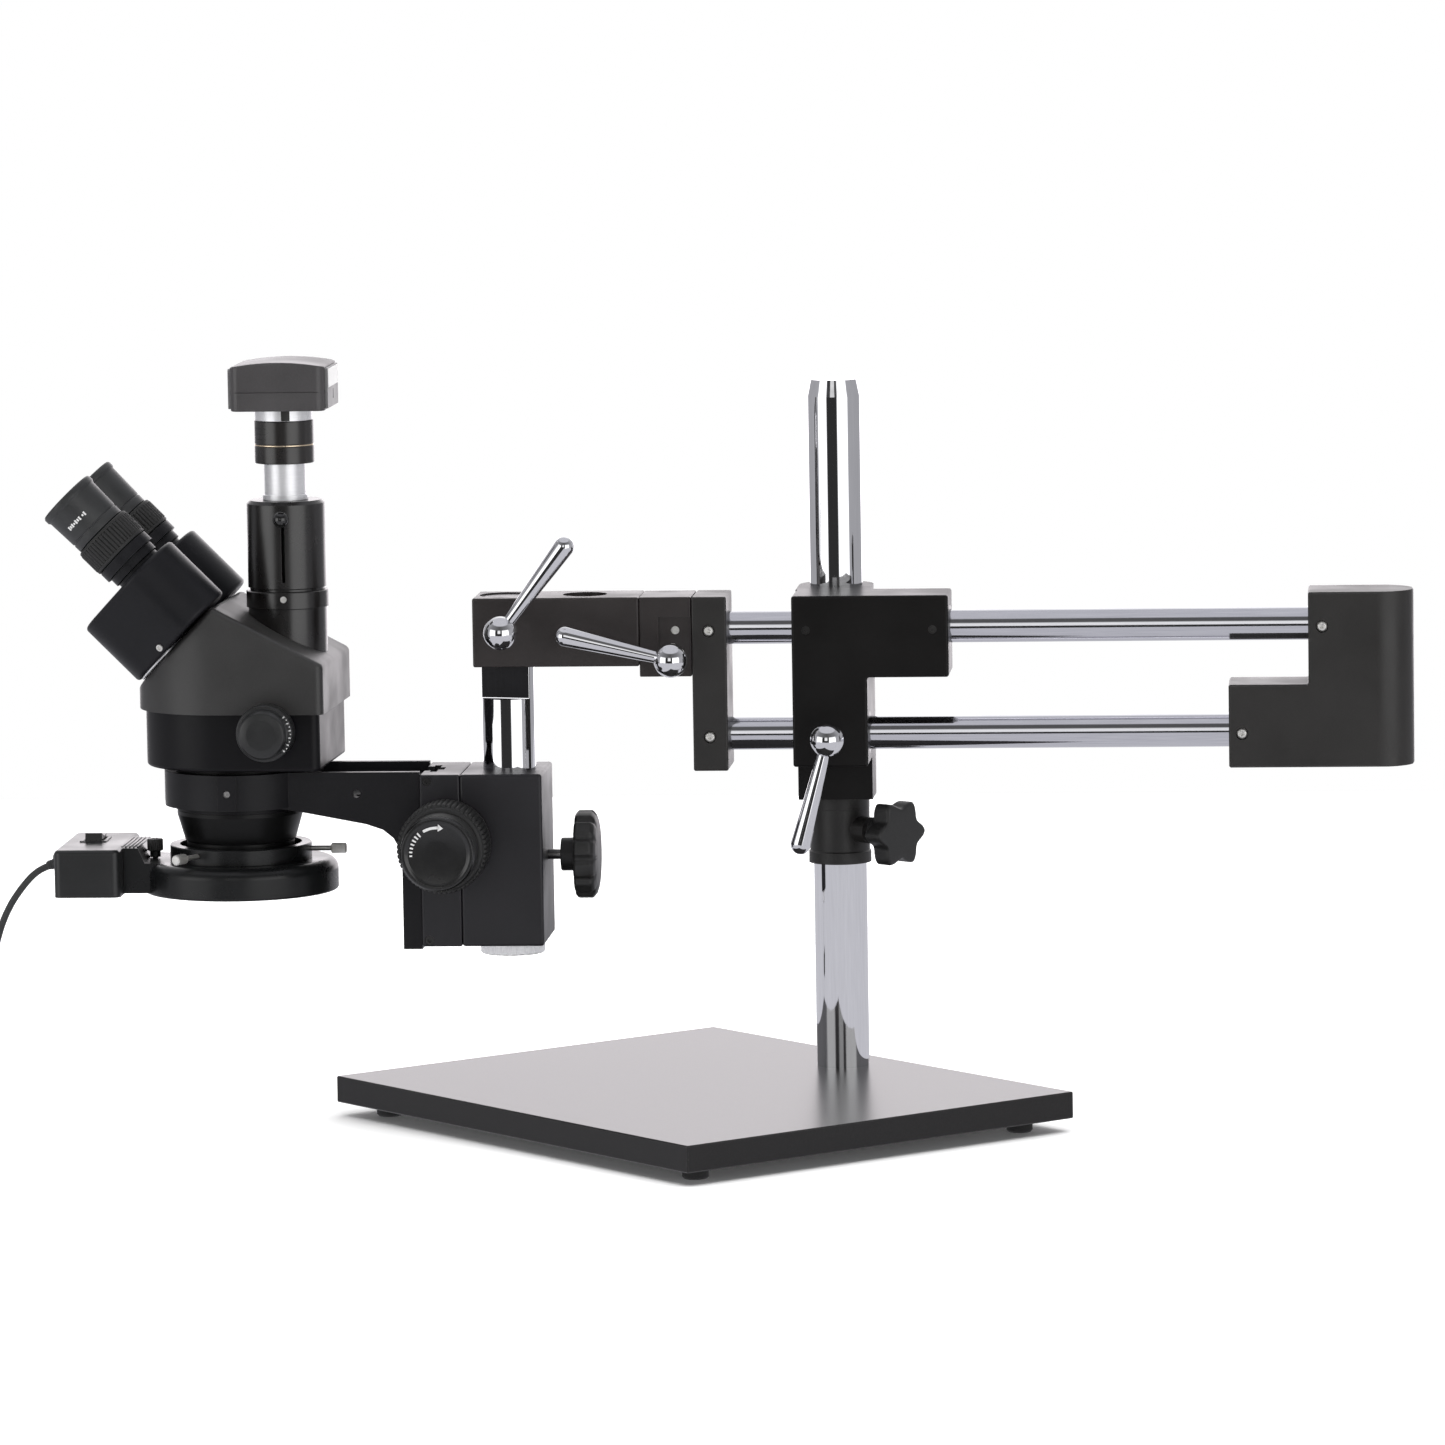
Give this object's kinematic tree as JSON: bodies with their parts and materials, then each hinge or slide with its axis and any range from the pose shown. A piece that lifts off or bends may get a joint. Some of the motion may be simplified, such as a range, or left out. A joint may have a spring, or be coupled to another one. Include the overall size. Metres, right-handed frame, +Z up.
{
  "type": "stereo microscope",
  "caption": "Stereo zoom microscope head with camera and ring light, hung from a double-rod boom that slides, swings and tilts on a weighted column stand.",
  "frame": {"origin": "under the middle of the object's bounding box, on the bench", "axes": "+X along the boom from the head towards the counterweight end block, +Z up the column, -Y towards the clamp levers"},
  "size_m": [0.9633, 0.4534, 0.4604],
  "materials": {
    "base_paint": "satin grey paint",
    "foot_rubber": "matt",
    "column_chrome": "bright plated",
    "collar_black": "satin",
    "washer_black": "satin",
    "knob_plastic": "moulded",
    "boom_block_black": "satin",
    "bush_bronze": "turned",
    "lever_chrome": "bright plated",
    "rod_chrome": "ground and plated",
    "screw_steel": "zinc plated",
    "knurled_chrome": "grooved",
    "focus_block_black": "satin",
    "drive_steel": "machined",
    "focus_knob_rubber": "ribbed",
    "tension_cap_gloss": "polished",
    "ring_arm_black": "satin",
    "rack_brass": "machined",
    "head_lower_black": "satin",
    "head_upper_black": "satin",
    "objective_black": "matt",
    "lens_glass": "coated",
    "tube_black": "satin",
    "zoom_knob_black": "moulded",
    "ball_black": "polished",
    "barrel_aluminium": "turned",
    "adapter_black": "satin",
    "camera_grey": "satin",
    "plate_aluminium": "satin",
    "prism_black": "satin",
    "diopter_black": "ribbed",
    "eyecup_black": "satin",
    "light_plastic": "moulded",
    "diffuser_white": "frosted",
    "light_collar_black": "satin",
    "box_plastic": "moulded",
    "rocker_plastic": "moulded",
    "dimmer_plastic": "moulded",
    "thumb_steel": "knurled",
    "grommet_rubber": "moulded",
    "cord_pvc": "extruded",
    "plug_plastic": "moulded"
  },
  "bodies": {
    "base": {"base_plate": "base_paint", "rubber_feet": "foot_rubber", "column": "column_chrome"},
    "collar": {"height_collar": "collar_black", "thrust_washer": "washer_black"},
    "collar_knob": {"collar_knob": "knob_plastic"},
    "carriage": {"carriage_block": "boom_block_black", "rod_bushes": "bush_bronze"},
    "boom_lever": {"boom_clamp_lever": "lever_chrome"},
    "boom": {"upper_rod": "rod_chrome", "lower_rod": "rod_chrome", "front_end_block": "boom_block_black", "rear_end_block": "boom_block_black", "end_block_screws": "screw_steel"},
    "arm": {"pivot_block": "boom_block_black", "front_arm": "boom_block_black"},
    "tilt_lever": {"tilt_clamp_lever": "lever_chrome"},
    "post_lever": {"post_clamp_lever": "lever_chrome"},
    "post": {"front_post": "column_chrome", "post_stop_cap": "knurled_chrome"},
    "focus_body": {"focus_block": "focus_block_black", "rack_housing": "focus_block_black"},
    "clamp_knob": {"post_clamp_knob": "knob_plastic"},
    "focus_drive": {"pinion_shaft": "drive_steel", "focus_knobs": "focus_knob_rubber", "tension_caps": "tension_cap_gloss"},
    "focus_slider": {"focus_arm": "ring_arm_black", "dovetail_rail": "drive_steel", "focus_rack": "rack_brass"},
    "head": {"lower_housing": "head_lower_black", "upper_housing": "head_upper_black", "objective_barrel": "objective_black", "objective_lens": "lens_glass", "photo_tube_base": "tube_black", "photo_tube": "tube_black"},
    "zoom": {"zoom_knobs": "zoom_knob_black"},
    "photo_lever": {"photo_lever": "ball_black"},
    "camera": {"relay_barrel": "barrel_aluminium", "camera_adapter": "adapter_black", "camera_body": "camera_grey", "camera_end_plates": "plate_aluminium"},
    "prism_near": {"prism_housing_near": "prism_black", "eyepiece_near": "eyecup_black"},
    "prism_far": {"prism_housing_far": "prism_black", "eyepiece_far": "eyecup_black"},
    "diopter_near": {"diopter_ring_near": "diopter_black"},
    "diopter_far": {"diopter_ring_far": "diopter_black"},
    "ring_light": {"light_housing": "light_plastic", "light_diffuser": "diffuser_white", "light_collar": "light_collar_black", "control_box": "box_plastic", "cord_grommet": "grommet_rubber", "light_cord": "cord_pvc", "cord_coil": "cord_pvc", "cord_plug": "plug_plastic"},
    "thumb_right": {"thumbscrew_right": "thumb_steel"},
    "thumb_front": {"thumbscrew_front": "thumb_steel"},
    "thumb_rear": {"thumbscrew_rear": "thumb_steel"},
    "dimmer": {"dimmer_knob": "dimmer_plastic"},
    "rocker": {"rocker_switch": "rocker_plastic"}
  },
  "joints": [
    {"name": "collar_height", "type": "slide", "parent": "base", "child": "collar", "axis": [0, 0, 1], "range_m": [-0.07, 0.12]},
    {"name": "collar_knob_turn", "type": "hinge", "parent": "collar", "child": "collar_knob", "pos_m": [0.09529, 0.04323, 0.1694], "axis": [0.766, -0.6428, 0], "continuous": true},
    {"name": "boom_swing", "type": "hinge", "parent": "collar", "child": "carriage", "pos_m": [0.06005, 0.0728, 0.25], "axis": [0, 0, 1], "continuous": true},
    {"name": "boom_lever_turn", "type": "hinge", "parent": "carriage", "child": "boom_lever", "pos_m": [0.05935, -0.0192, 0.2333], "axis": [0, -1, 0], "range_deg": [-50, 50]},
    {"name": "boom_slide", "type": "slide", "parent": "carriage", "child": "boom", "axis": [1, 0, 0], "range_m": [-0.205, 0.033]},
    {"name": "arm_tilt", "type": "hinge", "parent": "boom", "child": "arm", "pos_m": [-0.03795, 0.0204, 0.297], "axis": [1, 0, 0], "range_deg": [-20, 20]},
    {"name": "tilt_lever_turn", "type": "hinge", "parent": "arm", "child": "tilt_lever", "pos_m": [-0.03325, -0.0192, 0.2815], "axis": [0, -1, 0], "range_deg": [-10, 80]},
    {"name": "post_lever_turn", "type": "hinge", "parent": "arm", "child": "post_lever", "pos_m": [-0.13455, -0.0192, 0.2986], "axis": [0, -1, 0], "range_deg": [-8, 110]},
    {"name": "post_swivel", "type": "hinge", "parent": "arm", "child": "post", "pos_m": [-0.13475, 0.0204, 0.29], "axis": [0, 0, 1], "range_deg": [-60, 60]},
    {"name": "block_height", "type": "slide", "parent": "post", "child": "focus_body", "axis": [0, 0, 1], "range_m": [0, 0.058]},
    {"name": "clamp_knob_turn", "type": "hinge", "parent": "focus_body", "child": "clamp_knob", "pos_m": [-0.08995, 0.0204, 0.1607], "axis": [1, 0, 0], "continuous": true},
    {"name": "focus_slide", "type": "slide", "parent": "focus_body", "child": "focus_slider", "axis": [0, 0, 1], "range_m": [-0.024, 0.024]},
    {"name": "focus_knob_turn", "type": "hinge", "parent": "focus_body", "child": "focus_drive", "pos_m": [-0.16955, 0.0204, 0.1722], "axis": [0, 1, 0], "range_deg": [-230, 230]},
    {"name": "head_turn", "type": "hinge", "parent": "focus_slider", "child": "head", "pos_m": [-0.29855, 0.0204, 0.204], "axis": [0, 0, -1], "range_deg": [-60, 60]},
    {"name": "zoom_knob_turn", "type": "hinge", "parent": "head", "child": "zoom", "pos_m": [-0.27097, 0.01944, 0.2427], "axis": [0.0349, 0.9994, 0], "range_deg": [-135, 135]},
    {"name": "photo_lever_slide", "type": "slide", "parent": "head", "child": "photo_lever", "axis": [0, 0, -1], "range_m": [0, 0.036]},
    {"name": "camera_turn", "type": "hinge", "parent": "head", "child": "camera", "pos_m": [-0.26677, 0.01929, 0.4], "axis": [0, 0, 1], "continuous": true},
    {"name": "prism_near_turn", "type": "hinge", "parent": "head", "child": "prism_near", "pos_m": [-0.33844, -0.00422, 0.28518], "axis": [-0.7067, 0.0247, 0.7071], "range_deg": [-2, 21]},
    {"name": "prism_far_turn", "type": "hinge", "parent": "head", "child": "prism_far", "pos_m": [-0.33663, 0.04775, 0.28518], "axis": [-0.7067, 0.0247, 0.7071], "range_deg": [-21, 2]},
    {"name": "diopter_near_turn", "type": "hinge", "parent": "prism_near", "child": "diopter_near", "pos_m": [-0.36591, -0.01477, 0.35313], "axis": [-0.7067, 0.0247, 0.7071], "range_deg": [-150, 150]},
    {"name": "diopter_far_turn", "type": "hinge", "parent": "prism_far", "child": "diopter_far", "pos_m": [-0.36329, 0.06018, 0.35313], "axis": [-0.7067, 0.0247, 0.7071], "range_deg": [-150, 150]},
    {"name": "light_turn", "type": "hinge", "parent": "head", "child": "ring_light", "pos_m": [-0.29855, 0.0204, 0.15], "axis": [0, 0, 1], "range_deg": [-45, 45]},
    {"name": "dimmer_turn", "type": "hinge", "parent": "ring_light", "child": "dimmer", "pos_m": [-0.35055, 0.0204, 0.166], "axis": [0, 0, 1], "range_deg": [0, 270]},
    {"name": "rocker_rock", "type": "hinge", "parent": "ring_light", "child": "rocker", "pos_m": [-0.38815, 0.0279, 0.1685], "axis": [1, 0, 0], "range_deg": [0, 14]},
    {"name": "thumb_right_turn", "type": "hinge", "parent": "ring_light", "child": "thumb_right", "pos_m": [-0.23855, 0.0204, 0.1652], "axis": [1, 0, 0], "continuous": true},
    {"name": "thumb_front_turn", "type": "hinge", "parent": "ring_light", "child": "thumb_front", "pos_m": [-0.32855, -0.03156, 0.1652], "axis": [-0.5, -0.866, 0], "continuous": true},
    {"name": "thumb_rear_turn", "type": "hinge", "parent": "ring_light", "child": "thumb_rear", "pos_m": [-0.32855, 0.07236, 0.1652], "axis": [-0.5, 0.866, 0], "continuous": true}
  ],
  "couplings": [
    {"joint": "focus_knob_turn", "follows": "focus_slide", "rad_per_m": 166.67},
    {"joint": "prism_far_turn", "follows": "prism_near_turn", "ratio": -1}
  ]
}
